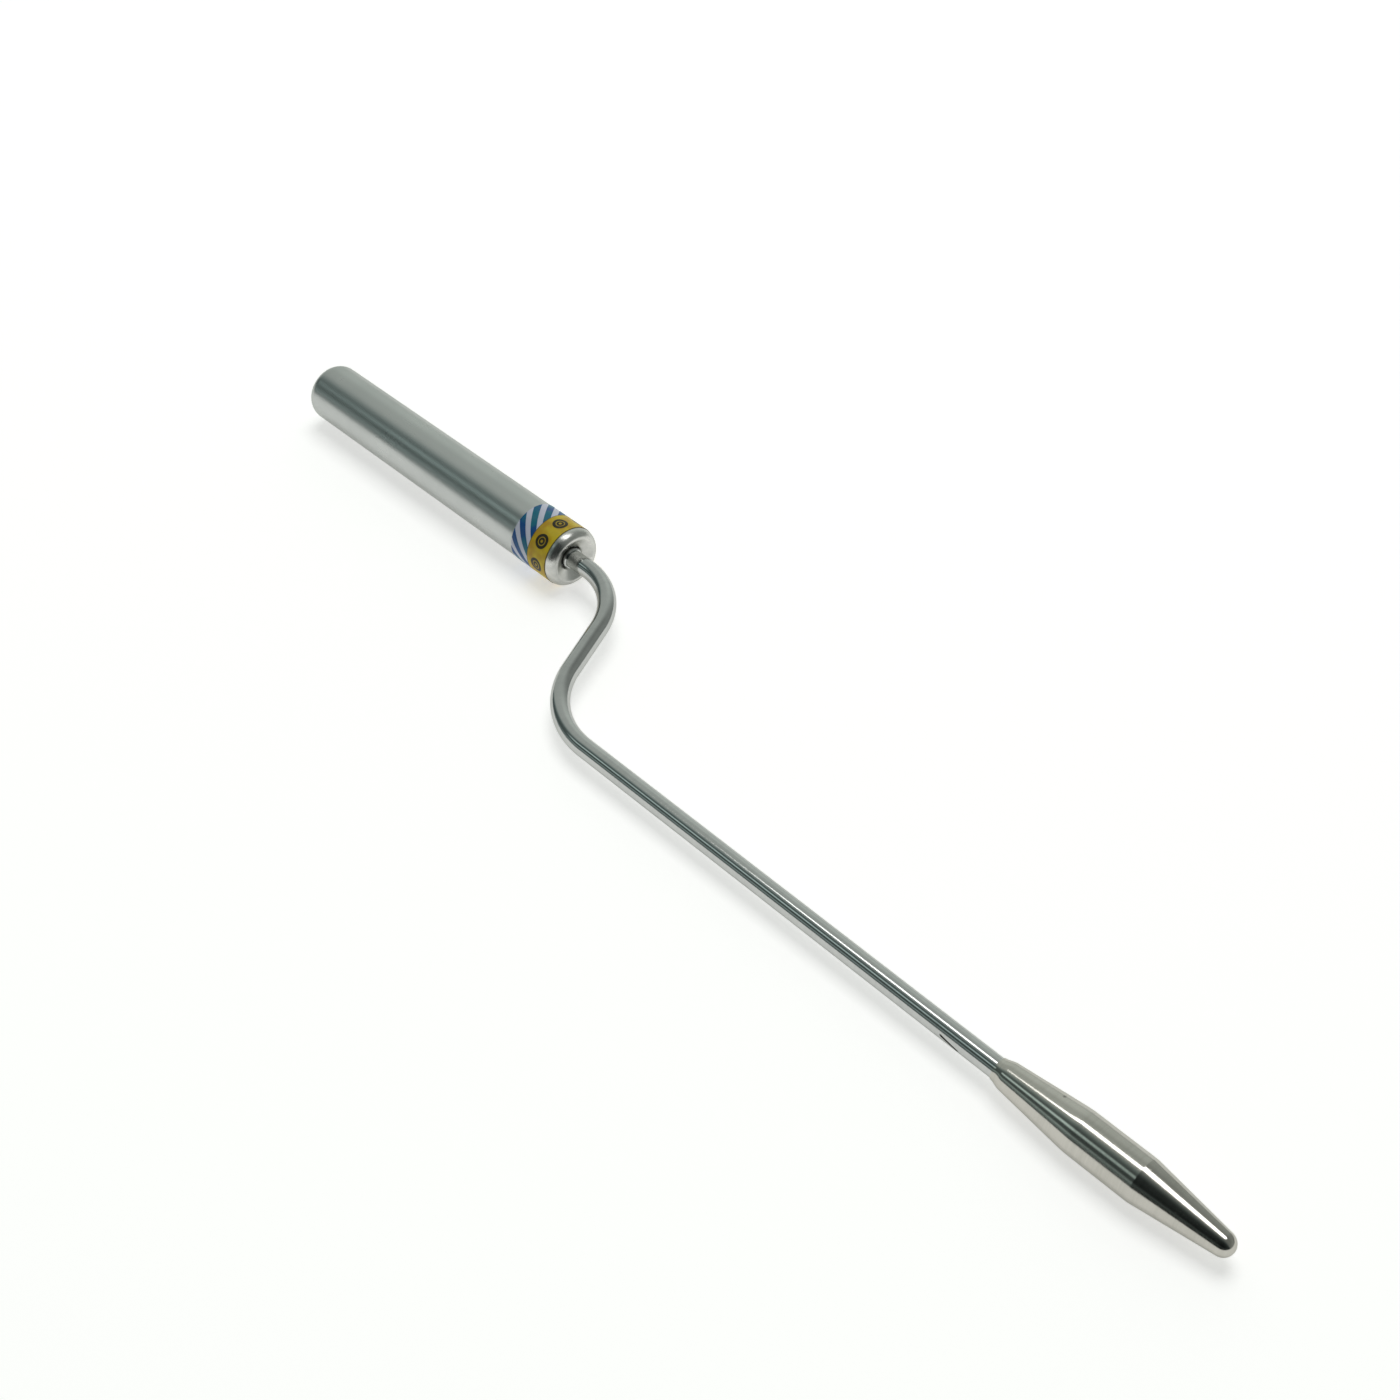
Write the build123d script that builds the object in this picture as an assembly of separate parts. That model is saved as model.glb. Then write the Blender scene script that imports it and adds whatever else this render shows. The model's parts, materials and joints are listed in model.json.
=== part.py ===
from build123d import *
import os
from math import acos, asin, atan2, cos, degrees, hypot, radians, sin, sqrt, tan

# A cranked hand tool: a free-turning cylindrical grip on the journal of a bright bent rod, whose other
# end carries a torpedo-shaped magnetic head. It lies on a table at Z = 0 with the grip's axis along X,
# the head towards +X and the crank thrown towards -Y. Sizes are in millimetres.

# Grip
grip_length = 134.5
grip_diameter = 20.0
grip_wall = 1.5
cap_skirt = 3.0             # straight part of each end cap, from its shoulder to its joint with the tube
cap_spigot = 5.5            # how far each cap's spigot reaches into the tube
cap_spigot_wall = 1.25
front_shoulder_radius = 3.6
front_rim_radius = 1.2      # the front cap's rounded crest, inside its shoulder
front_rim_turn = 38.0       # degrees from the axis at which the shoulder passes into the rim
dish_angle = 32.0           # degrees that the front face falls inwards from the rim
front_web = 1.8             # metal behind the mouth's edge
rear_crown_radius = 23.0
rear_shoulder_radius = 4.0
rear_crown_thickness = 2.2
edge_break = 0.3            # small chamfer on turned edges

# Printed bands round the front of the grip
band_thickness = 0.12
band_setback = 0.15         # from the front cap's shoulder to the yellow band
yellow_band_width = 8.8
striped_band_width = 7.9

# Bearings inside the grip
front_bush_length = 14.0
rear_bush_length = 12.0
bush_spacing = 46.0         # clear length between the two bushes
spacer_wall = 2.6
running_clearance = 0.04    # radial, between the journal and the bushes
seat_clearance = 0.02       # radial, between pressed or bonded pieces
end_float = 0.15            # axial, between the grip and the thrust pieces at each end

# Rod
rod_diameter = 6.0
crank_throw = 51.5          # distance between the grip's axis and the straight rod's axis
bend_angle = 67.0           # degrees that the rod turns at each bend
front_bend_radius = 26.0    # on the centreline, at the bend next to the grip
rear_bend_radius = 30.0
rod_lead_out = 5.2          # straight rod between the front cap's rim and the first bend
rod_straight = 155.9        # between the second bend and the head
rod_end_chamfer = 0.6

# Thrust and retaining pieces on the journal
collar_wall = 0.6           # how far the collar stands proud of the rod
mouth_clearance = 0.4       # radial, between the collar and the mouth at the bottom of the dish
collar_projection = 1.3     # how far the collar stands out of the mouth
washer_thickness = 0.6
washer_bore_clearance = 0.08
front_washer_clearance = 0.2  # radial, between the front washer and the mouth
rear_washer_diameter = 11.0
spring_washer_diameter = 10.4
spring_washer_thickness = 0.5
spring_washer_rise = 0.35   # cone height of the spring washer as assembled
clip_thickness = 0.8
clip_diameter = 9.4
clip_groove_depth = 0.6
clip_groove_play = 0.05     # axial, each side of the clip
clip_opening = 70.0         # degrees of the clip that are open
rod_end_land = 2.6          # rod left behind the clip's groove

# Head
head_length = 70.1
head_diameter = 12.5
head_tail_wall = 0.25       # how far the head's tail stands proud of the rod
head_flare_length = 3.3     # of the S-shaped flare from the tail to the rear cone
head_flare_step = 0.85      # how much the radius grows over the flare
head_blend_rise = 0.22      # how much the radius grows over the curve between the rear cone and the land
head_blend_length = 3.4     # of that curve
head_land_start = 26.0      # from the tail to the cylindrical land
head_land_length = 18.1
head_nose_radius = 3.3
rod_socket_depth = 14.0
nose_spigot_diameter = 9.2
nose_spigot_length = 5.0
magnet_count = 3
magnet_diameter = 6.6
magnet_length = 6.0
pole_length = 3.0
back_iron_length = 2.5
nose_wall = 1.1             # least wall of the nose round the magnet bore

# Worked-out sizes
grip_radius = grip_diameter / 2
tube_bore_radius = grip_radius - grip_wall
spigot_radius = tube_bore_radius - seat_clearance
spigot_bore_radius = spigot_radius - cap_spigot_wall
front_bush_radius = spigot_bore_radius - seat_clearance
rod_radius = rod_diameter / 2
bush_bore_radius = rod_radius + running_clearance
collar_radius = rod_radius + collar_wall
mouth_radius = collar_radius + mouth_clearance
head_radius = head_diameter / 2
band_radius = grip_radius + band_thickness
grip_height = band_radius
crank_tilt = asin((grip_height - head_radius) / crank_throw)


def turned(*outline):
    """Solid of revolution about the X axis, from an outline of (x, radius) points."""
    return revolve(make_face(Polyline(*outline, close=True)), Axis.X)


def ring(x_low, x_high, bore, radius, chamfer=0.0):
    """Ring about the X axis, with both outer edges chamfered."""
    if not chamfer:
        return turned((x_low, bore), (x_high, bore), (x_high, radius), (x_low, radius))
    shoulder = radius - chamfer
    return turned(
        (x_low, bore),
        (x_high, bore),
        (x_high, shoulder),
        (x_high - chamfer, radius),
        (x_low + chamfer, radius),
        (x_low, shoulder),
    )


# Where things lie along the grip, measured from the crest of the front cap's rim at x = 0, towards the rear


def on_arc(centre, radius, degrees_from_axis):
    """Point on an arc in the (x, radius) plane."""
    turn = radians(degrees_from_axis)
    return (centre[0] + radius * cos(turn), centre[1] + radius * sin(turn))


rear_shoulder = rear_crown_radius - sqrt(
    (rear_crown_radius - rear_shoulder_radius) ** 2 - (grip_radius - rear_shoulder_radius) ** 2
)
rim_step = front_shoulder_radius - front_rim_radius
front_shoulder = front_rim_radius + rim_step * cos(radians(front_rim_turn))
front_shoulder_centre = (-front_shoulder, grip_radius - front_shoulder_radius)
front_rim_centre = on_arc(front_shoulder_centre, rim_step, front_rim_turn)
dish_start = on_arc(front_rim_centre, front_rim_radius, -dish_angle)
mouth_edge_radius = mouth_radius + edge_break
mouth_edge_x = dish_start[0] - (dish_start[1] - mouth_edge_radius) * tan(radians(dish_angle))
mouth_x = mouth_edge_x - edge_break
front_joint_x = -(front_shoulder + cap_skirt)
rear_joint_x = -(grip_length - rear_shoulder - cap_skirt)
front_bush_front_x = mouth_x - front_web
front_bush_rear_x = front_bush_front_x - front_bush_length
rear_bush_front_x = front_bush_rear_x - bush_spacing
rear_bush_rear_x = rear_bush_front_x - rear_bush_length
front_washer_rear_x = front_bush_front_x + end_float
collar_rear_x = front_washer_rear_x + washer_thickness
collar_front_x = mouth_x + collar_projection
spring_front_x = rear_bush_rear_x - end_float
rear_washer_front_x = spring_front_x - spring_washer_rise - spring_washer_thickness
clip_front_x = rear_washer_front_x - washer_thickness
groove_front_x = clip_front_x + clip_groove_play
groove_rear_x = clip_front_x - clip_thickness - clip_groove_play
rod_rear_x = groove_rear_x - rod_end_land
yellow_front_x = -(front_shoulder + band_setback)
yellow_rear_x = yellow_front_x - yellow_band_width
striped_rear_x = yellow_rear_x - striped_band_width

# The rod's two bends and the head's place on it
half_bend = radians(bend_angle) / 2
first_corner_x = rod_lead_out + front_bend_radius * tan(half_bend)
second_corner_x = first_corner_x + crank_throw / tan(2 * half_bend)
head_tail_x = second_corner_x + rear_bend_radius * tan(half_bend) + rod_straight
head_nose_x = head_tail_x + head_length

# The origin is below the middle of the whole tool's box, on the table
low_y = -crank_throw * cos(crank_tilt) - head_radius
grip_place = Location(
    ((grip_length - head_nose_x) / 2, -(low_y + band_radius) / 2, grip_height),
)
rod_place = grip_place * Location((0, 0, 0), (degrees(crank_tilt), 0, 0))
head_place = rod_place * Location((head_tail_x, -crank_throw, 0))


def skirt_and_spigot(shoulder, web_x):
    """Outline behind a cap's face: skirt, step, spigot and the bore as far as the web at web_x."""
    joint = -(shoulder + cap_skirt)
    end = joint - cap_spigot
    return [
        (-shoulder, grip_radius),
        (joint, grip_radius),
        (joint, spigot_radius),
        (end + edge_break, spigot_radius),
        (end, spigot_radius - edge_break),
        (end, spigot_bore_radius),
        (web_x, spigot_bore_radius),
    ]


def front_cap():
    """Front cap: rounded shoulder and rim, and a dished face with the mouth at its bottom."""
    middle_turn = (90 + front_rim_turn) / 2
    crest_turn = (front_rim_turn - dish_angle) / 2
    rim_start = on_arc(front_shoulder_centre, front_shoulder_radius, front_rim_turn)
    shoulder = ThreePointArc(
        (-front_shoulder, grip_radius),
        on_arc(front_shoulder_centre, front_shoulder_radius, middle_turn),
        rim_start,
    )
    rim = ThreePointArc(
        rim_start,
        on_arc(front_rim_centre, front_rim_radius, crest_turn),
        dish_start,
    )
    back = Polyline(
        *skirt_and_spigot(front_shoulder, front_bush_front_x),
        (front_bush_front_x, mouth_radius),
        (mouth_x, mouth_radius),
        (mouth_edge_x, mouth_edge_radius),
        dish_start,
    )
    return revolve(make_face(shoulder + rim + back), Axis.X)


def rear_cap():
    """Rear cap: rounded shoulder and a closed, slightly domed end."""
    centre = (-rear_shoulder, grip_radius - rear_shoulder_radius)
    crown_centre = (-rear_crown_radius, 0)
    crown_turn = degrees(atan2(centre[1], rear_crown_radius - rear_shoulder))
    crown_end = on_arc(crown_centre, rear_crown_radius, crown_turn)
    crown = ThreePointArc(
        (0, 0),
        on_arc(crown_centre, rear_crown_radius, crown_turn / 2),
        crown_end,
    )
    shoulder = ThreePointArc(
        crown_end,
        on_arc(centre, rear_shoulder_radius, (crown_turn + 90) / 2),
        (-rear_shoulder, grip_radius),
    )
    back = Polyline(
        *skirt_and_spigot(rear_shoulder, -rear_crown_thickness),
        (-rear_crown_thickness, 0),
        (0, 0),
    )
    cap = revolve(make_face(crown + shoulder + back), Axis.X)
    return Location((-grip_length, 0, 0), (0, 0, 180)) * cap


def grip_tube():
    """Plain tube between the two caps."""
    return ring(rear_joint_x, front_joint_x, tube_bore_radius, grip_radius)


def bush(x_low, x_high, radius):
    """Plain bearing plug with its bore countersunk at both ends."""
    return turned(
        (x_low, bush_bore_radius + edge_break),
        (x_low + edge_break, bush_bore_radius),
        (x_high - edge_break, bush_bore_radius),
        (x_high, bush_bore_radius + edge_break),
        (x_high, radius - edge_break),
        (x_high - edge_break, radius),
        (x_low + edge_break, radius),
        (x_low, radius - edge_break),
    )


def spacer_tube():
    """Thin tube that sets the distance between the bushes."""
    outer = tube_bore_radius - seat_clearance
    return ring(rear_bush_front_x, front_bush_rear_x, outer - spacer_wall, outer)


def crank_rod():
    """Bright bar with a journal, two opposite bends and a straight run into the head's socket."""
    path = FilletPolyline(
        (rod_rear_x, 0),
        (first_corner_x, 0),
        (second_corner_x, -crank_throw),
        (head_tail_x + rod_socket_depth, -crank_throw),
        radius=[front_bend_radius, rear_bend_radius],
    )
    bar = sweep(Plane(origin=(rod_rear_x, 0, 0), z_dir=(1, 0, 0)) * Circle(rod_radius), path=path)
    outside = rod_radius + 1
    groove = ring(groove_rear_x, groove_front_x, rod_radius - clip_groove_depth, outside)
    end_cut = turned(
        (rod_rear_x - 1, rod_radius - rod_end_chamfer - 1),
        (rod_rear_x + rod_end_chamfer + 1, outside),
        (rod_rear_x - 1, outside),
    )
    return bar - groove - end_cut


def thrust_washer(x_low, radius):
    """Flat washer on the journal."""
    bore = rod_radius + washer_bore_clearance
    return ring(x_low, x_low + washer_thickness, bore, radius, edge_break / 2)


def spring_washer():
    """Conical spring washer that takes up the grip's end play."""
    bore = rod_radius + washer_bore_clearance
    rim = spring_washer_diameter / 2
    bore_x = spring_front_x - spring_washer_thickness
    return turned(
        (bore_x, bore),
        (spring_front_x, bore),
        (spring_front_x - spring_washer_rise, rim),
        (bore_x - spring_washer_rise, rim),
    )


def retaining_ring():
    """Open clip sprung into the journal's groove."""
    seat = rod_radius - clip_groove_depth + seat_clearance
    clip = ring(clip_front_x - clip_thickness, clip_front_x, seat, clip_diameter / 2)
    reach = clip_diameter
    spread = reach * tan(radians(clip_opening / 2))
    wedge = make_face(Polyline((0, 0), (reach, spread), (reach, -spread), close=True))
    opening = extrude(Plane.YZ * wedge, clip_thickness * 4, both=True)
    return clip - Location((clip_front_x, 0, 0)) * opening


def thrust_collar():
    """Bright ring fixed on the rod at the mouth, with a chamfered front edge."""
    bore = rod_radius + seat_clearance
    return turned(
        (collar_rear_x, bore),
        (collar_front_x, bore),
        (collar_front_x, collar_radius - edge_break),
        (collar_front_x - edge_break, collar_radius),
        (collar_rear_x, collar_radius),
    )


# The head, in its own frame: tail at x = 0, nose towards +x
land_end_x = head_land_start + head_land_length
nose_centre_x = head_length - head_nose_radius
nose_reach = hypot(land_end_x - nose_centre_x, head_radius)
tangent_turn = atan2(head_radius, land_end_x - nose_centre_x) - acos(head_nose_radius / nose_reach)
nose_tangent = (
    nose_centre_x + head_nose_radius * cos(tangent_turn),
    head_nose_radius * sin(tangent_turn),
)
nose_slope = (head_radius - nose_tangent[1]) / (nose_tangent[0] - land_end_x)
magnet_bore_radius = magnet_diameter / 2 + seat_clearance
magnet_bore_end_x = land_end_x + (head_radius - magnet_bore_radius - nose_wall) / nose_slope
stack_length = pole_length + magnet_count * magnet_length + back_iron_length
stack_rear_x = magnet_bore_end_x - stack_length


def head_body():
    """Rear half of the head: flared tail, rear cone and cylindrical land, socketed at both ends."""
    tail = rod_radius + head_tail_wall
    cone_start = (head_flare_length, tail + head_flare_step)
    cone_end = (head_land_start - head_blend_length, head_radius - head_blend_rise)
    along_cone = (cone_end[0] - cone_start[0], cone_end[1] - cone_start[1])
    flare = Spline((0, tail), cone_start, tangents=[along_cone, along_cone])
    cone = Line(cone_start, cone_end)
    blend = Spline(cone_end, (head_land_start, head_radius), tangents=[along_cone, (1, 0)])
    rest = Polyline(
        (head_land_start, head_radius),
        (land_end_x, head_radius),
        (land_end_x, 0),
        (0, 0),
        (0, tail),
    )
    body = revolve(make_face(flare + cone + blend + rest), Axis.X)
    rod_socket = ring(-1, rod_socket_depth, 0, rod_radius + seat_clearance)
    spigot_socket = ring(
        land_end_x - nose_spigot_length, land_end_x + 1, 0, nose_spigot_diameter / 2 + seat_clearance
    )
    magnet_bore = ring(stack_rear_x, land_end_x, 0, magnet_bore_radius)
    return body - rod_socket - spigot_socket - magnet_bore


def head_nose():
    """Front cone with a round nose, a spigot behind and the magnet bore."""
    middle_turn = tangent_turn / 2
    nose_middle = (
        nose_centre_x + head_nose_radius * cos(middle_turn),
        head_nose_radius * sin(middle_turn),
    )
    spigot = nose_spigot_diameter / 2
    spigot_end = land_end_x - nose_spigot_length
    cone = Line((land_end_x, head_radius), nose_tangent)
    tip = ThreePointArc(nose_tangent, nose_middle, (head_length, 0))
    back = Polyline(
        (head_length, 0),
        (spigot_end, 0),
        (spigot_end, spigot - edge_break),
        (spigot_end + edge_break, spigot),
        (land_end_x, spigot),
        (land_end_x, head_radius),
    )
    nose = revolve(make_face(cone + tip + back), Axis.X)
    return nose - ring(spigot_end, magnet_bore_end_x, 0, magnet_bore_radius)


def magnet_stack():
    """Steel pole piece at the front, disc magnets behind it, and a steel back iron."""
    radius = magnet_diameter / 2
    front = magnet_bore_end_x - pole_length
    stack = {"pole_piece": ring(front, magnet_bore_end_x, 0, radius)}
    for number in range(magnet_count):
        rear = front - magnet_length
        stack[f"magnet_{number + 1}"] = ring(rear, front, 0, radius, edge_break)
        front = rear
    stack["back_iron"] = ring(stack_rear_x, front, 0, radius)
    return stack


grip_pieces = {
    "grip_tube": grip_tube(),
    "front_cap": front_cap(),
    "rear_cap": rear_cap(),
    "front_bush": bush(front_bush_rear_x, front_bush_front_x, front_bush_radius),
    "rear_bush": bush(rear_bush_rear_x, rear_bush_front_x, tube_bore_radius - seat_clearance),
    "spacer_tube": spacer_tube(),
    "yellow_band": ring(yellow_rear_x, yellow_front_x, grip_radius, band_radius),
    "striped_band": ring(striped_rear_x, yellow_rear_x, grip_radius, band_radius),
}
rod_pieces = {
    "crank_rod": crank_rod(),
    "thrust_collar": thrust_collar(),
    "front_thrust_washer": thrust_washer(front_washer_rear_x, mouth_radius - front_washer_clearance),
    "rear_thrust_washer": thrust_washer(clip_front_x, rear_washer_diameter / 2),
    "spring_washer": spring_washer(),
    "retaining_ring": retaining_ring(),
}
head_pieces = {"head_body": head_body(), "head_nose": head_nose(), **magnet_stack()}

os.makedirs("parts", exist_ok=True)
for place, pieces in ((grip_place, grip_pieces), (rod_place, rod_pieces), (head_place, head_pieces)):
    for node, piece in pieces.items():
        export_step(piece.moved(place), f"parts/{node}.step")
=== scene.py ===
import json
import math

import bmesh
import bpy
from mathutils import Matrix, Vector


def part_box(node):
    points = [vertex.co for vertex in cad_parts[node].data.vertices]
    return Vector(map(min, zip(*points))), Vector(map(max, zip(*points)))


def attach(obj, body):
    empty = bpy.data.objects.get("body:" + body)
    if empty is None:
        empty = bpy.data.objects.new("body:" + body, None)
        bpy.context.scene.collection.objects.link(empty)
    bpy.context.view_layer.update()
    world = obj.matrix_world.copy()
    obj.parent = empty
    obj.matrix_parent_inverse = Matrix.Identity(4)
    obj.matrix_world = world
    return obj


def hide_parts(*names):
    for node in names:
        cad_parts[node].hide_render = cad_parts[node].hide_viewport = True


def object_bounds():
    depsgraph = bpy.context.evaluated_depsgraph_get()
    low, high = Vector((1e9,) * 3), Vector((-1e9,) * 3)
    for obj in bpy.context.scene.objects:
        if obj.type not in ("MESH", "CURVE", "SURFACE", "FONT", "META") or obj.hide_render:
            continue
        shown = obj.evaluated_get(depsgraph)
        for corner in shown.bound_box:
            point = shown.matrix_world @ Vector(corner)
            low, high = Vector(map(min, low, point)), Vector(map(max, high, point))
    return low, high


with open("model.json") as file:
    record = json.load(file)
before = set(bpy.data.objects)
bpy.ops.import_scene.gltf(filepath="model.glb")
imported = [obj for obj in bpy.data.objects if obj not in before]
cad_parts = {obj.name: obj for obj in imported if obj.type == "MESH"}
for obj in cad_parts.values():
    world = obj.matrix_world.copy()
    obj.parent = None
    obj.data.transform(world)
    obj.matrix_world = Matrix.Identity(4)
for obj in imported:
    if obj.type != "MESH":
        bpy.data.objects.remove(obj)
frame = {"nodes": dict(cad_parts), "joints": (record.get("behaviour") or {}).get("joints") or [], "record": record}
CAD_LOW, CAD_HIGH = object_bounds()
CENTRE = (CAD_LOW + CAD_HIGH) / 2
RECORD = frame["record"]
MOUNTS = {mount["name"]: mount for mount in RECORD["mounts"]}

# A point on the grip's axis and one on the head's. Both run along X, and +X is towards the nose
GRIP = Vector(frame["joints"][0]["pos_m"])
HEAD = Vector(MOUNTS["head_land"]["pos_m"])
GRIP_RADIUS = MOUNTS["grip_barrel"]["dims"]["r_mm"] / 1000
FORWARD = Vector((1, 0, 0))
FULL_TURN = 2 * math.pi

# Camera, in degrees, metres and the lens's millimetres on a 36 mm sensor
CAMERA_AZIMUTH = 46.97           # from -Y towards +X
CAMERA_ELEVATION = 42.32
CAMERA_DISTANCE = 0.5824
CAMERA_LENS = 51.2
CAMERA_AIM = (-0.00297, 0.00773, 0.0)      # from the middle of the tool's box
CAMERA_CLIP = 0.01, 50


# ---------------------------------------------------------------- node graphs
class Graph:
    """A node tree, with short calls for the nodes that the finishes and the room use."""

    def __init__(self, tree):
        self.tree = tree
        self.tree.nodes.clear()

    def add(self, kind, **settings):
        node = self.tree.nodes.new(kind)
        for key, value in settings.items():
            setattr(node, key, value)
        return node

    def feed(self, socket, value):
        """Links value to the socket if it is an output, and sets it as its value if not."""
        if isinstance(value, bpy.types.NodeSocket):
            self.tree.links.new(value, socket)
        elif hasattr(socket.default_value, "__len__") and not hasattr(value, "__len__"):
            socket.default_value = [value] * len(socket.default_value)
        elif hasattr(value, "__len__") and len(socket.default_value) == 4 and len(value) == 3:
            socket.default_value = (*value, 1.0)
        else:
            socket.default_value = value

    def math(self, operation, *values, clamp=False):
        node = self.add("ShaderNodeMath", operation=operation, use_clamp=clamp)
        for socket, value in zip(node.inputs, values):
            self.feed(socket, value)
        return node.outputs[0]

    def vector(self, operation, a, b):
        node = self.add("ShaderNodeVectorMath", operation=operation)
        self.feed(node.inputs[0], a)
        self.feed(node.inputs[1], b)
        return node.outputs[0]

    def length(self, vector):
        node = self.add("ShaderNodeVectorMath", operation="LENGTH")
        self.feed(node.inputs[0], vector)
        return node.outputs["Value"]

    def split(self, vector):
        node = self.add("ShaderNodeSeparateXYZ")
        self.feed(node.inputs[0], vector)
        return node.outputs

    def place(self, origin=(0, 0, 0)):
        """The piece's own coordinates, in metres from origin."""
        coordinates = self.add("ShaderNodeTexCoord").outputs["Object"]
        return self.vector("SUBTRACT", coordinates, tuple(origin))

    def attribute(self, name):
        return self.add("ShaderNodeAttribute", attribute_name=name).outputs["Vector"]

    def noise(self, vector, stretch, detail=2.0, roughness=0.5):
        """Noise from 0 to 1, with stretch giving its features per metre, alike or for each axis."""
        node = self.add("ShaderNodeTexNoise")
        self.feed(node.inputs["Vector"], self.vector("MULTIPLY", vector, stretch))
        node.inputs["Scale"].default_value = 1.0
        node.inputs["Detail"].default_value = detail
        node.inputs["Roughness"].default_value = roughness
        return node.outputs["Fac"]

    def step(self, value, low, high):
        """0 below low, 1 above high, and smooth between. With low above high it falls."""
        node = self.add("ShaderNodeMapRange", interpolation_type="SMOOTHSTEP")
        for socket, v in zip(node.inputs, (value, min(low, high), max(low, high))):
            self.feed(socket, v)
        if low > high:
            node.inputs["To Min"].default_value = 1.0
            node.inputs["To Max"].default_value = 0.0
        return node.outputs[0]

    def spread(self, value, low, high, to_low, to_high):
        """value from low to high, mapped to to_low to to_high and kept between them."""
        node = self.add("ShaderNodeMapRange")
        for socket, v in zip(node.inputs, (value, low, high, to_low, to_high)):
            self.feed(socket, v)
        return node.outputs[0]

    def mix(self, share, a, b, blend="MIX"):
        """Colour a where share is 0 and, with the usual blend, b where it is 1."""
        node = self.add("ShaderNodeMix", data_type="RGBA", blend_type=blend)
        colours = [s for s in node.inputs if s.type == "RGBA"]
        self.feed(node.inputs[0], share)
        self.feed(colours[0], a)
        self.feed(colours[1], b)
        return next(s for s in node.outputs if s.type == "RGBA")

    def bump(self, height, distance, strength=1.0, normal=None):
        node = self.add("ShaderNodeBump")
        self.feed(node.inputs["Height"], height)
        node.inputs["Distance"].default_value = distance
        node.inputs["Strength"].default_value = strength
        if normal is not None:
            self.feed(node.inputs["Normal"], normal)
        return node.outputs[0]


class Surface(Graph):
    """A new material's node tree, with the shader that it feeds."""

    def __init__(self, name):
        self.material = bpy.data.materials.new(name)
        self.material.use_nodes = True
        super().__init__(self.material.node_tree)
        self.shader = self.add("ShaderNodeBsdfPrincipled")
        output = self.add("ShaderNodeOutputMaterial")
        self.tree.links.new(self.shader.outputs[0], output.inputs[0])

    def set(self, **values):
        """Feeds the shader's sockets, named with underscores for spaces."""
        for key, value in values.items():
            self.feed(self.shader.inputs[key.replace("_", " ")], value)


# ---------------------------------------------------------------- metals and plastic
METAL_TINT = (0.72, 0.73, 0.71)  # tint of a metal's reflections at a grazing angle
CLOUD_NOISE = 0.35, 0.65         # range of the noise for handling marks that is used
CLOUD_STAIN = 0.5                # share of the stain's colour where the marks are strongest
LINE_NOISE = 0.7, 1.3            # range used of the fine and the coarse lines' noise, added
LINE_ROUGHNESS = 0.4             # roughness of the lines, as a share of how strongly they tint
COARSE_LINES = 5                 # times the fine lines' width
PITS = 900.0                     # noise features per metre
PIT_NOISE = 0.74, 0.80           # noise at which a pit begins, and at which it is whole
PIT_DEPTH = 6e-6
PIT_STRENGTH = 0.6
USUAL_SPECULAR = 0.5             # the shader's specular level, which a mark takes away


def metal(name, colour, stain, rough, rough_spread, grain, lines, depth, origin=(0, 0, 0),
          attribute=None, blotch=60.0, mark=None):
    """Bare metal: drawn or turned lines from stretched noise, cloudy handling marks, small pits.

    grain is the lines' features per metre along each axis, lines how strongly they tint and
    roughen, depth their height in metres, and blotch the handling marks' features per metre. The
    lines follow the mesh's attribute if one is named, and otherwise the coordinates from origin.
    mark returns the share of dark scratch at each place."""
    g = Surface(name)
    at = g.attribute(attribute) if attribute else g.place(origin)
    fine = g.noise(at, grain, detail=3.0, roughness=0.6)
    coarse = g.noise(at, tuple(v / COARSE_LINES for v in grain), detail=2.0)
    cloud = g.noise(at, blotch, detail=4.0, roughness=0.6)
    pits = g.step(g.noise(at, PITS, detail=1.0), *PIT_NOISE)
    tint = g.spread(g.math("ADD", fine, coarse), *LINE_NOISE, -lines, lines)
    shade = g.math("ADD", g.spread(cloud, *CLOUD_NOISE, 0.0, CLOUD_STAIN), tint, clamp=True)
    base = g.mix(shade, colour, stain)
    bare = 1.0
    if mark:
        dark = mark(g)
        base = g.mix(dark, base, SCRATCH)
        bare = g.math("SUBTRACT", 1.0, dark)
        g.set(Specular_IOR_Level=g.math("MULTIPLY", bare, USUAL_SPECULAR))
    cloudy = g.spread(cloud, *CLOUD_NOISE, rough - rough_spread, rough + rough_spread)
    lined = g.math("MULTIPLY", g.math("SUBTRACT", fine, 0.5), lines * LINE_ROUGHNESS)
    g.set(
        Metallic=bare,
        Base_Color=base,
        Specular_Tint=METAL_TINT,
        Roughness=g.math("ADD", cloudy, lined),
        Normal=g.bump(pits, -PIT_DEPTH, PIT_STRENGTH, g.bump(g.math("ADD", fine, coarse), depth)),
    )
    return g.material


# Marks on the metal. Each pair of limits is where a mark is still whole and where it has gone
SCRATCH = (0.012, 0.011, 0.006)  # colour of a mark

# A scratch on the bar's side towards the camera
NICK = HEAD + Vector((-0.04865, 0.0, -0.00005))
NICK_SLANT = 0.18                # how far it falls per length, towards the head
NICK_HALF_WIDTH = 0.00024, 0.00038
NICK_HALF_LENGTH = 0.0027, 0.0034
NICK_SIDE = -0.002, -0.001       # across the bar, which keeps the mark off the far side

# A smudge on the top of the head's rear cone
SPECK = HEAD + Vector((-0.01665, 0.0020, 0.0054))
SPECK_RADIUS = 0.0004, 0.0009
SPECK_GRAIN = 2500.0             # noise features per metre
SPECK_RAGGED = 0.0005
SPECK_STRENGTH = 0.75


def within(g, distance, limits):
    """1 up to the first limit, 0 past the second."""
    return g.step(distance, limits[1], limits[0])


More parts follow.
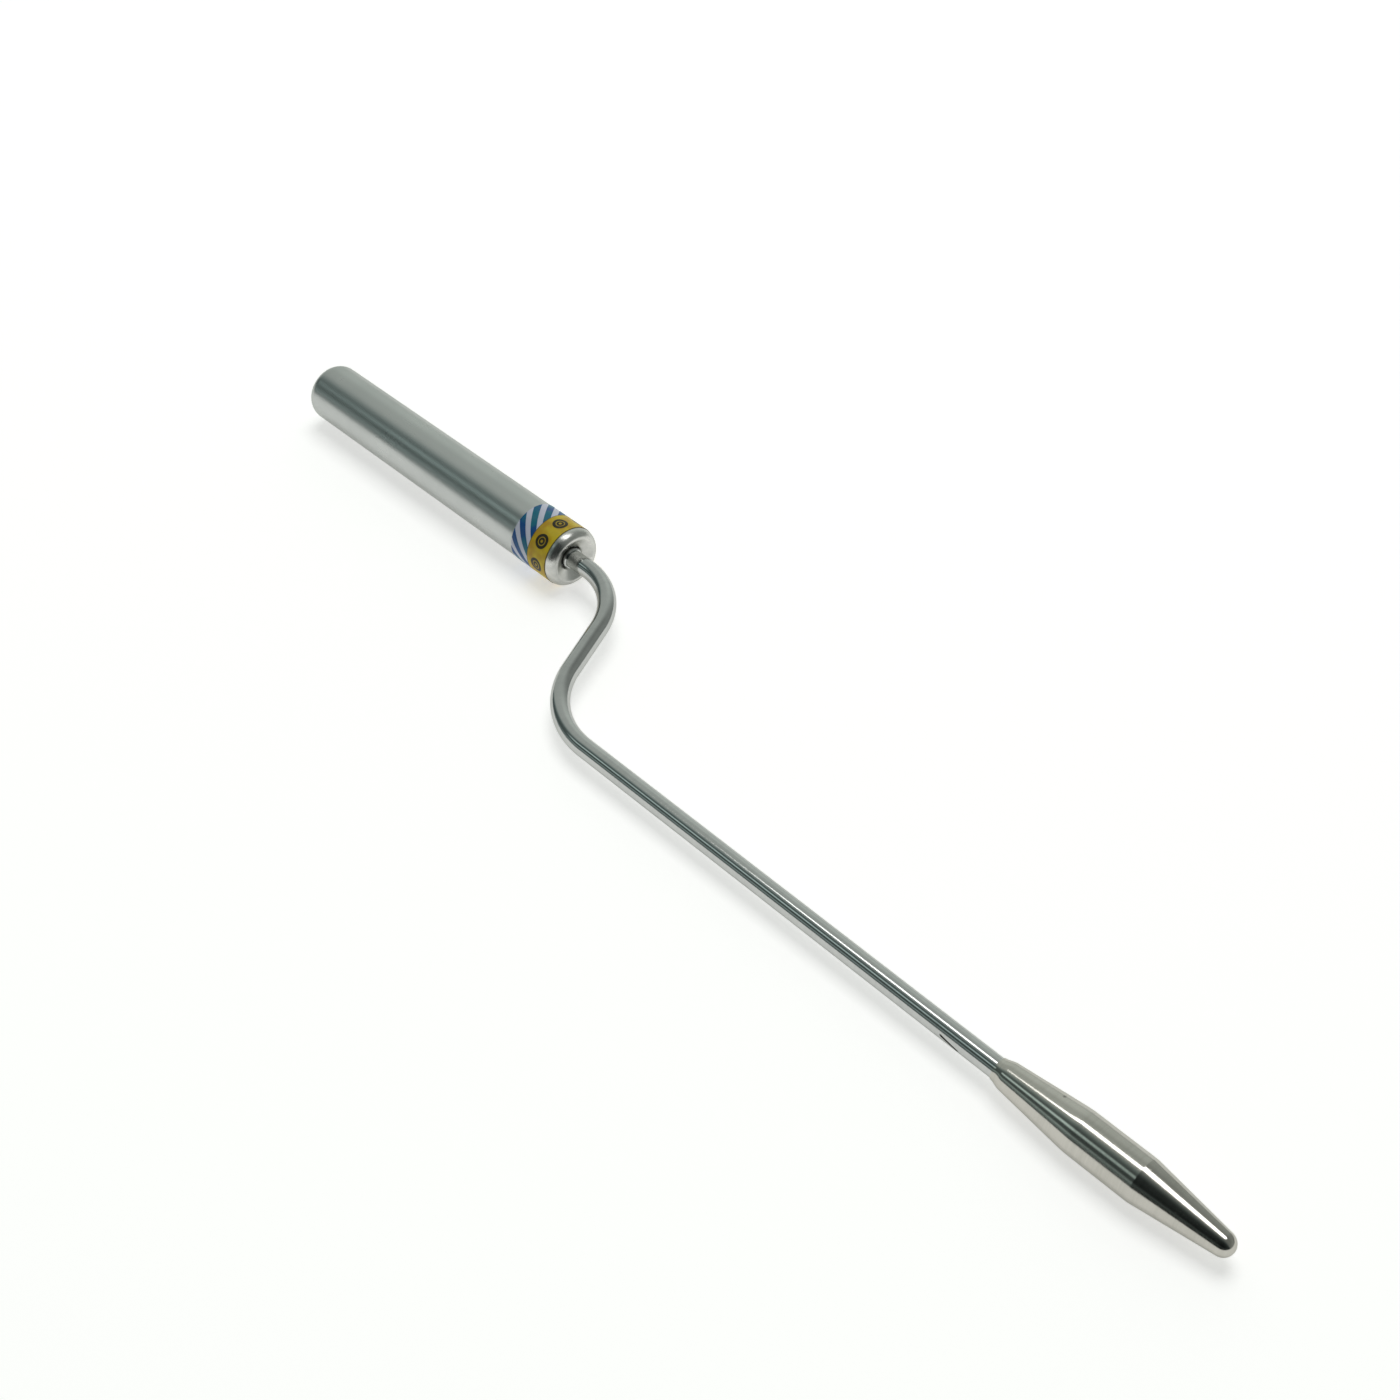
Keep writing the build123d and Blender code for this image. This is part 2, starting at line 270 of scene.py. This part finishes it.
def nick(g):
    """A thin dark scratch, slightly askew, along the near side of the bar."""
    x, y, z = g.split(g.place(NICK))
    off = g.math("ABSOLUTE", g.math("ADD", z, g.math("MULTIPLY", x, NICK_SLANT)))
    line = g.math(
        "MULTIPLY",
        within(g, off, NICK_HALF_WIDTH),
        within(g, g.math("ABSOLUTE", x), NICK_HALF_LENGTH),
    )
    return g.math("MULTIPLY", line, within(g, y, NICK_SIDE))


def speck(g):
    """A small smudge with a ragged outline."""
    at = g.place(SPECK)
    ragged = g.math("MULTIPLY", g.noise(at, SPECK_GRAIN), SPECK_RAGGED)
    reach = g.math("ADD", g.length(at), ragged)
    return g.math("MULTIPLY", within(g, reach, SPECK_RADIUS), SPECK_STRENGTH)


def satin_steel():
    """Tube with a fine grain along it."""
    return metal(
        "satin_steel",
        colour=(0.51, 0.525, 0.51),
        stain=(0.46, 0.48, 0.465),
        rough=0.29,
        rough_spread=0.02,
        grain=(25.0, 2500.0, 2500.0),
        lines=0.10,
        depth=2.0e-6,
        origin=GRIP,
    )


def polished_cap():
    """Polished steel, slightly hazy, with turning lines."""
    return metal(
        "polished_cap",
        colour=(0.60, 0.60, 0.57),
        stain=(0.40, 0.41, 0.385),
        rough=0.30,
        rough_spread=0.05,
        grain=(1500.0, 350.0, 350.0),
        lines=0.12,
        depth=2.0e-6,
        origin=GRIP,
        blotch=260.0,
    )


def bright_bar():
    """Buffed bar, with fine polishing lines round it that follow its bends."""
    return metal(
        "bright_bar",
        colour=(0.505, 0.515, 0.50),
        stain=(0.44, 0.45, 0.44),
        rough=0.12,
        rough_spread=0.02,
        grain=(2400.0, 160.0, 160.0),
        lines=0.32,
        depth=2.6e-6,
        attribute="bar",
        mark=nick,
    )


def turned_steel():
    """Polished steel with fine turning lines."""
    return metal(
        "turned_steel",
        colour=(0.52, 0.505, 0.46),
        stain=(0.45, 0.44, 0.395),
        rough=0.145,
        rough_spread=0.02,
        grain=(2600.0, 60.0, 60.0),
        lines=0.34,
        depth=3.0e-6,
        origin=HEAD,
        mark=speck,
    )


def plain_metal(name, colour, rough):
    """Turned metal for the inner pieces."""
    return metal(
        name,
        colour=colour,
        stain=tuple(c * 0.8 for c in colour),
        rough=rough,
        rough_spread=0.05,
        grain=(900.0, 300.0, 300.0),
        lines=0.1,
        depth=2e-6,
    )


def acetal():
    """Natural white plastic with turning lines."""
    g = Surface("acetal")
    cloud = g.noise(g.place(), 250.0, detail=4.0)
    g.set(
        Base_Color=g.mix(cloud, (0.80, 0.79, 0.74), (0.72, 0.70, 0.64)),
        Roughness=g.spread(cloud, 0.3, 0.7, 0.38, 0.52),
        Subsurface_Weight=0.15,
        Subsurface_Radius=(0.002, 0.002, 0.0015),
        Normal=g.bump(g.noise(g.place(), (1800.0, 300.0, 300.0)), 8e-6),
    )
    return g.material


# ---------------------------------------------------------------- printed bands
BLUE = (0.001, 0.068, 0.24)
TEAL = (0.001, 0.14, 0.21)
LAVENDER = (0.56, 0.58, 0.68)
YELLOW = (0.60, 0.45, 0.008)
AMBER = (0.46, 0.27, 0.006)
INK = (0.014, 0.012, 0.001)
GRIME = (0.30, 0.30, 0.26)
ROUNDELS = 7
ROUNDEL_PITCH = 48.7 / 360       # turns from one roundel to the next
ROUNDEL_START = 166.7 / 360      # turns from the film's seam, which is underneath, to the top
ROUNDEL_RADIUS = 0.0025
RING_RADII = 0.00120, 0.00150    # of the pale ring in a roundel
DOT_RADIUS = 0.00050             # of the pale dot in its middle
MARK_STRENGTH = 0.8              # how much of the ink the ring and dot leave out
PRINT_BLUR = 0.00012             # each way from a print's edge
EDGE_LINE = 0.0003, 0.00015      # from the band's edge to where its dark line begins and is whole
EDGE_STRENGTH = 0.8
STRIPES = 10
STRIPE_SLANT = 188.3             # stripes crossed per metre along the grip
STRIPE_SHIFT = 0.805             # of a stripe's pitch
STRIPE_EDGE = 0.285, 0.255       # distance from a blue stripe's middle, in pitches
PRINT_HEIGHT = 1.2e-5
PRINT_STRENGTH = 0.7
FILM_WAVE = 6e-6                 # height of the film's unevenness


def round_grip(g):
    """The distance along the grip, and the angle round it from the top, in turns."""
    x, y, z = g.split(g.place(GRIP))
    turn = g.math("DIVIDE", g.math("ARCTAN2", y, z), FULL_TURN)
    return x, turn


def film(g, colour, height):
    """Printed film with slight grime, from the print's colour and its relief from 0 to 1."""
    cloud = g.noise(g.place(GRIP), 300.0, detail=4.0)
    g.set(
        Base_Color=g.mix(g.spread(cloud, 0.4, 0.7, 0.0, 0.08), colour, GRIME),
        Roughness=g.spread(cloud, 0.3, 0.7, 0.38, 0.48),
        Specular_IOR_Level=0.25,
        Normal=g.bump(height, PRINT_HEIGHT, PRINT_STRENGTH, g.bump(cloud, FILM_WAVE)),
    )
    return g.material


def striped_film():
    """Slanted blue and pale stripes, a whole number of them round the band."""
    g = Surface("striped_film")
    x, turn = round_grip(g)
    phase = g.math(
        "ADD",
        g.math("MULTIPLY", turn, float(STRIPES)),
        g.math("MULTIPLY", x, STRIPE_SLANT),
    )
    wave = g.math("FRACT", g.math("ADD", phase, STRIPE_SHIFT + 0.5))
    distance = g.math("ABSOLUTE", g.math("SUBTRACT", wave, 0.5))
    blue = g.step(distance, *STRIPE_EDGE)
    ink = g.mix(g.step(g.noise(g.place(GRIP), 160.0), 0.45, 0.65), BLUE, TEAL)
    return film(g, g.mix(blue, LAVENDER, ink), blue)


def yellow_film():
    """Amber-yellow print with a row of plain roundels and a fine dark line at each edge."""
    g = Surface("yellow_film")
    band_low, band_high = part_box("yellow_band")
    middle = (band_low.x + band_high.x) / 2 - GRIP.x
    half = (band_high.x - band_low.x) / 2
    x, turn = round_grip(g)

    # Distance from the middle of the nearest roundel, in the film's own plane
    turned = g.math("FRACT", g.math("ADD", turn, ROUNDEL_START))
    unrolled = g.math("DIVIDE", turned, ROUNDEL_PITCH)
    whole = g.math("LESS_THAN", unrolled, float(ROUNDELS))
    cell = g.math("SUBTRACT", g.math("FRACT", unrolled), 0.5)
    across = g.math("MULTIPLY", cell, FULL_TURN * GRIP_RADIUS * ROUNDEL_PITCH)
    along = g.math("SUBTRACT", x, middle)
    squares = [g.math("MULTIPLY", v, v) for v in (across, along)]
    reach = g.math("SQRT", g.math("ADD", *squares))

    def inside(radius):
        return g.step(reach, radius + PRINT_BLUR, radius - PRINT_BLUR)

    def outside(radius):
        return g.step(reach, radius - PRINT_BLUR, radius + PRINT_BLUR)

    disc = g.math("MULTIPLY", whole, inside(ROUNDEL_RADIUS))
    ring = g.math("MULTIPLY", outside(RING_RADII[0]), inside(RING_RADII[1]))
    pale = g.math("MULTIPLY", whole, g.math("ADD", ring, inside(DOT_RADIUS), clamp=True))
    motif = g.math("SUBTRACT", disc, g.math("MULTIPLY", pale, MARK_STRENGTH), clamp=True)
    edge = g.step(g.math("ABSOLUTE", along), half - EDGE_LINE[0], half - EDGE_LINE[1])
    dark = g.math("MAXIMUM", motif, g.math("MULTIPLY", edge, EDGE_STRENGTH))
    gold = g.mix(g.step(g.noise(g.place(GRIP), 180.0), 0.4, 0.65), YELLOW, AMBER)
    return film(g, g.mix(dark, gold, INK), dark)


# ---------------------------------------------------------------- rod
BEND_ANGLE = math.radians(67)
BEND_RADII = 0.026, 0.030        # of the centreline, at the grip and towards the head
LEAD_OUT = 0.0052                # straight rod between the front cap and the first bend
ROD_RADIUS = 0.003
END_CHAMFER = 0.0006
GROOVE_DEPTH = 0.0006
GROOVE_PLAY = 0.00005            # between the clip and each wall of its groove
ROD_SIDES = 72
JOURNAL_STEPS = 100              # rings along each stretch
BEND_STEPS = 64
SLANT_STEPS = 24
STRAIGHT_STEPS = 300
SMOOTH_ANGLE = math.radians(35)  # edges sharper than this stay sharp


def rod_rings(low, high):
    """Centre, turn and radius of each ring along the bar, in the plane of the crank, from the
    journal's end to the head, and the direction of the throw."""
    rim_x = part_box("front_cap")[1].x
    clip_low, clip_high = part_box("retaining_ring")
    throw = Vector((0, HEAD.y - GRIP.y, HEAD.z - GRIP.z))
    side = throw.normalized()
    slant = FORWARD * math.cos(BEND_ANGLE) + side * math.sin(BEND_ANGLE)

    # Where the centreline's straight stretches would meet, and how far from there each bend starts
    reach = [radius * math.tan(BEND_ANGLE / 2) for radius in BEND_RADII]
    first = rim_x + LEAD_OUT + reach[0]
    second = first + throw.length / math.tan(BEND_ANGLE)
    corners = Vector((first, GRIP.y, GRIP.z)), Vector((second, HEAD.y, HEAD.z))

    def run(begin, end, turn, steps):
        return [(begin.lerp(end, i / steps), turn, ROD_RADIUS) for i in range(1, steps + 1)]

    def arc(turn, radius):
        """From the end of a bend that lies along X to where the bar has turned this far."""
        return (FORWARD * math.sin(turn) + side * (1 - math.cos(turn))) * radius

    # The journal, with its chamfered end and the clip's groove
    groove = clip_low.x - GROOVE_PLAY, clip_high.x + GROOVE_PLAY
    rings = [
        (Vector((x, GRIP.y, GRIP.z)), 0.0, radius)
        for x, radius in (
            (low.x, ROD_RADIUS - END_CHAMFER),
            (low.x + END_CHAMFER, ROD_RADIUS),
            (groove[0], ROD_RADIUS),
            (groove[0], ROD_RADIUS - GROOVE_DEPTH),
            (groove[1], ROD_RADIUS - GROOVE_DEPTH),
            (groove[1], ROD_RADIUS),
        )
    ]
    bend_start = corners[0] - FORWARD * reach[0]
    rings += run(rings[-1][0], bend_start, 0.0, JOURNAL_STEPS)

    # First bend, slanted run, second bend
    for i in range(1, BEND_STEPS + 1):
        turn = BEND_ANGLE * i / BEND_STEPS
        rings.append((bend_start + arc(turn, BEND_RADII[0]), turn, ROD_RADIUS))
    slant_ends = corners[0] + slant * reach[0], corners[1] - slant * reach[1]
    rings += run(*slant_ends, BEND_ANGLE, SLANT_STEPS)
    bend_end = corners[1] + FORWARD * reach[1]
    for i in range(1, BEND_STEPS + 1):
        turn = BEND_ANGLE * (1 - i / BEND_STEPS)
        rings.append((bend_end - arc(turn, BEND_RADII[1]), turn, ROD_RADIUS))

    # Straight run into the head's socket
    rings += run(bend_end, Vector((high.x, HEAD.y, HEAD.z)), 0.0, STRAIGHT_STEPS)
    return rings, side


def rod_bar():
    """The bent bar, with its cross-section coordinates kept for the polishing lines."""
    path, side = rod_rings(*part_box("crank_rod"))
    normal = FORWARD.cross(side)
    mesh = bmesh.new()
    layer = mesh.verts.layers.float_vector.new("bar")
    rings = []
    travelled = 0.0
    before = path[0][0]
    for centre, turn, radius in path:
        travelled += (centre - before).length
        before = centre
        across = side * math.cos(turn) - FORWARD * math.sin(turn)
        ring = []
        for k in range(ROD_SIDES):
            t = FULL_TURN * k / ROD_SIDES
            v = mesh.verts.new(centre + (across * math.cos(t) + normal * math.sin(t)) * radius)
            v[layer] = (travelled, math.cos(t) * radius, math.sin(t) * radius)
            ring.append(v)
        rings.append(ring)
    for a, b in zip(rings, rings[1:]):
        for k in range(ROD_SIDES):
            n = (k + 1) % ROD_SIDES
            mesh.faces.new((a[k], b[k], b[n], a[n]))
    mesh.faces.new(rings[0])
    mesh.faces.new(list(reversed(rings[-1])))
    bmesh.ops.recalc_face_normals(mesh, faces=mesh.faces)
    return solid(mesh, "rod_bar")


def solid(mesh, name):
    """A new object with the mesh's shape, smooth but for its sharp edges."""
    data = bpy.data.meshes.new(name)
    mesh.to_mesh(data)
    mesh.free()
    piece = bpy.data.objects.new(name, data)
    bpy.context.scene.collection.objects.link(piece)
    data.polygons.foreach_set("use_smooth", [True] * len(data.polygons))
    data.set_sharp_from_angle(angle=SMOOTH_ANGLE)
    return piece


# ---------------------------------------------------------------- finishes on the pieces
FINISH = {
    "satin_steel": satin_steel(),
    "polished_cap": polished_cap(),
    "bright_bar": bright_bar(),
    "turned_steel": turned_steel(),
    "acetal": acetal(),
    "aluminium_tube": plain_metal("aluminium_tube", (0.78, 0.79, 0.80), 0.32),
    "bronze": plain_metal("bronze", (0.66, 0.42, 0.20), 0.30),
    "zinc_steel": plain_metal("zinc_steel", (0.66, 0.68, 0.70), 0.34),
    "spring_steel": plain_metal("spring_steel", (0.20, 0.20, 0.21), 0.38),
    "soft_iron": plain_metal("soft_iron", (0.40, 0.40, 0.41), 0.42),
    "nickel_magnet": plain_metal("nickel_magnet", (0.70, 0.68, 0.64), 0.16),
    "yellow_film": yellow_film(),
    "striped_film": striped_film(),
}


def finish(piece, slot):
    piece.data.materials.clear()
    piece.data.materials.append(FINISH[slot])


for part in RECORD["subparts"]:
    finish(frame["nodes"][part["node"]], part["material_slot"])

bar = rod_bar()
finish(bar, "bright_bar")
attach(bar, "rod")
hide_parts("crank_rod")


# ---------------------------------------------------------------- floor, light and camera
FLOOR_RADIUS = 8.0
FLOOR_SIDES = 96
FLOOR_DROP = 0.00005             # below the tool
FLOOR_COLOUR = (0.72, 0.72, 0.71)
FLOOR_GLOW = 0.56
WARM_WHITE = (1.0, 0.995, 0.98)

# The room's light, and a narrow strip of light added to it: stops of direction and brightness.
# Directions are in degrees from straight up, positive towards -Y, where the camera stands
ROOM = (
    (-90, 0.74), (-55, 0.74), (-34, 0.56), (-16, 0.54), (4, 0.52), (17, 0.27), (27, 0.13),
    (48, 0.11), (60, 0.08), (65, 0.14), (70, 0.44), (75, 0.26), (83, 0.16), (90, 0.10),
)
STRIP = ((35, 0.0), (38.5, 0.66), (45, 0.66), (49, 0.0))
STRIP_BEGIN = -0.74, -0.67       # range of a direction's X, which runs from -1 to 1
STRIP_END = -0.02, -0.30
TINT_LIMIT = 10                  # direction at which the rear's tint ends and the front's begins
REAR_TINT = (0.96, 1.03, 0.98)
FRONT_TINT = (0.86, 1.08, 1.05)
DIM_BEGIN = -0.5, 0.12           # range of a direction's X in which the room gets dimmer
DIM_SIDE = 0.1, -0.8             # range of its Y from the rear's share of light to the front's
DIM_SHARES = 0.42, 0.10          # light that is left at the rear and at the front


def floor():
    """A pale floor with a glow of its own."""
    mesh = bmesh.new()
    bmesh.ops.create_circle(mesh, cap_ends=True, segments=FLOOR_SIDES, radius=FLOOR_RADIUS)
    piece = solid(mesh, "floor")
    piece.location = (CENTRE.x, CENTRE.y, CAD_LOW.z - FLOOR_DROP)
    g = Surface("floor_pale")
    g.set(Base_Color=FLOOR_COLOUR, Roughness=0.9, Specular_IOR_Level=0.1)
    g.set(Emission_Color=WARM_WHITE, Emission_Strength=FLOOR_GLOW)
    piece.data.materials.append(g.material)


def ramp(g, stops, place):
    """Colour for a direction from stops of its degrees and brightness, tinted by direction."""
    node = g.add("ShaderNodeValToRGB")
    for degrees, value in stops:
        stop = node.color_ramp.elements.new(0.5 + degrees / 360)
        tint = REAR_TINT if degrees < TINT_LIMIT else FRONT_TINT
        stop.color = (*(value * t for t in tint), 1.0)
    node.color_ramp.elements.remove(node.color_ramp.elements[-1])
    node.color_ramp.elements.remove(node.color_ramp.elements[0])
    g.feed(node.inputs[0], place)
    return node.outputs[0]


def room():
    """The world that the metal reflects: pale behind, dark on the camera's side but for a narrow
    strip of light there, and dimmer towards +X. The camera itself sees an even white."""
    world = bpy.data.worlds.new("room")
    bpy.context.scene.world = world
    world.use_nodes = True
    g = Graph(world.node_tree)
    x, y, z = g.split(g.add("ShaderNodeTexCoord").outputs["Generated"])
    tilt = g.math("ARCTAN2", g.math("MULTIPLY", y, -1.0), z)
    place = g.math("ADD", g.math("DIVIDE", tilt, FULL_TURN), 0.5)

    strip = g.math("MULTIPLY", g.step(x, *STRIP_BEGIN), g.step(x, *STRIP_END))
    glow = g.mix(strip, ramp(g, ROOM, place), ramp(g, STRIP, place), blend="ADD")

    far = g.step(x, *DIM_BEGIN)
    share = g.spread(g.step(y, *DIM_SIDE), 0.0, 1.0, *DIM_SHARES)
    loss = g.math("MULTIPLY", far, g.math("SUBTRACT", 1.0, share))
    lit = g.add("ShaderNodeBackground")
    g.feed(lit.inputs["Color"], glow)
    g.feed(lit.inputs["Strength"], g.math("SUBTRACT", 1.0, loss))

    seen = g.add("ShaderNodeBackground")
    g.feed(seen.inputs["Color"], WARM_WHITE)
    chosen = g.add("ShaderNodeMixShader")
    g.feed(chosen.inputs[0], g.add("ShaderNodeLightPath").outputs["Is Camera Ray"])
    g.tree.links.new(lit.outputs[0], chosen.inputs[1])
    g.tree.links.new(seen.outputs[0], chosen.inputs[2])
    g.tree.links.new(chosen.outputs[0], g.add("ShaderNodeOutputWorld").inputs[0])


def softbox(name, tilt, span, distance, power, turn=0.0, shape="RECTANGLE", diffuse=True,
            glossy=True):
    """Area light that faces the object. tilt is its direction from straight up towards +X and +Y,
    span how wide and high the object sees it, and turn its turn about its own axis, in degrees."""
    data = bpy.data.lights.new(name, "AREA")
    data.shape = shape
    data.size, data.size_y = (2 * distance * math.tan(math.radians(s / 2)) for s in span)
    data.energy = power
    lamp = bpy.data.objects.new(name, data)
    bpy.context.scene.collection.objects.link(lamp)
    away = Vector((*(math.tan(math.radians(t)) for t in tilt), 1)).normalized()
    along = Vector((math.cos(math.radians(turn)), math.sin(math.radians(turn)), 0))
    along = (along - away * along.dot(away)).normalized()
    lamp.matrix_world = Matrix.Translation(CENTRE + away * distance) @ Matrix(
        (along, away.cross(along), away)
    ).transposed().to_4x4()
    lamp.visible_camera = False
    lamp.visible_diffuse = diffuse
    lamp.visible_glossy = glossy


def camera():
    data = bpy.data.cameras.new("camera")
    data.lens = CAMERA_LENS
    data.clip_start, data.clip_end = CAMERA_CLIP
    piece = bpy.data.objects.new("camera", data)
    bpy.context.scene.collection.objects.link(piece)
    azimuth, elevation = math.radians(CAMERA_AZIMUTH), math.radians(CAMERA_ELEVATION)
    back = Vector((
        math.sin(azimuth) * math.cos(elevation),
        -math.cos(azimuth) * math.cos(elevation),
        math.sin(elevation),
    ))
    piece.rotation_mode = "QUATERNION"
    piece.location = CENTRE + Vector(CAMERA_AIM) + back * CAMERA_DISTANCE
    piece.rotation_quaternion = (-back).to_track_quat("-Z", "Y")
    bpy.context.scene.camera = piece


floor()
room()
softbox(
    "key", tilt=(-5.0, 9.0), span=(48.0, 13.0), distance=2.2, power=8.8, turn=22.0,
    shape="ELLIPSE", diffuse=False,
)
softbox(
    "crown", tilt=(7.0, 13.0), span=(22.0, 24.0), distance=2.2, power=5.0,
    shape="ELLIPSE", diffuse=False,
)
softbox("overhead", tilt=(-10.0, 15.0), span=(34.0, 34.0), distance=2.5, power=26.0, glossy=False)
camera()
bpy.context.scene.view_settings.view_transform = "Standard"
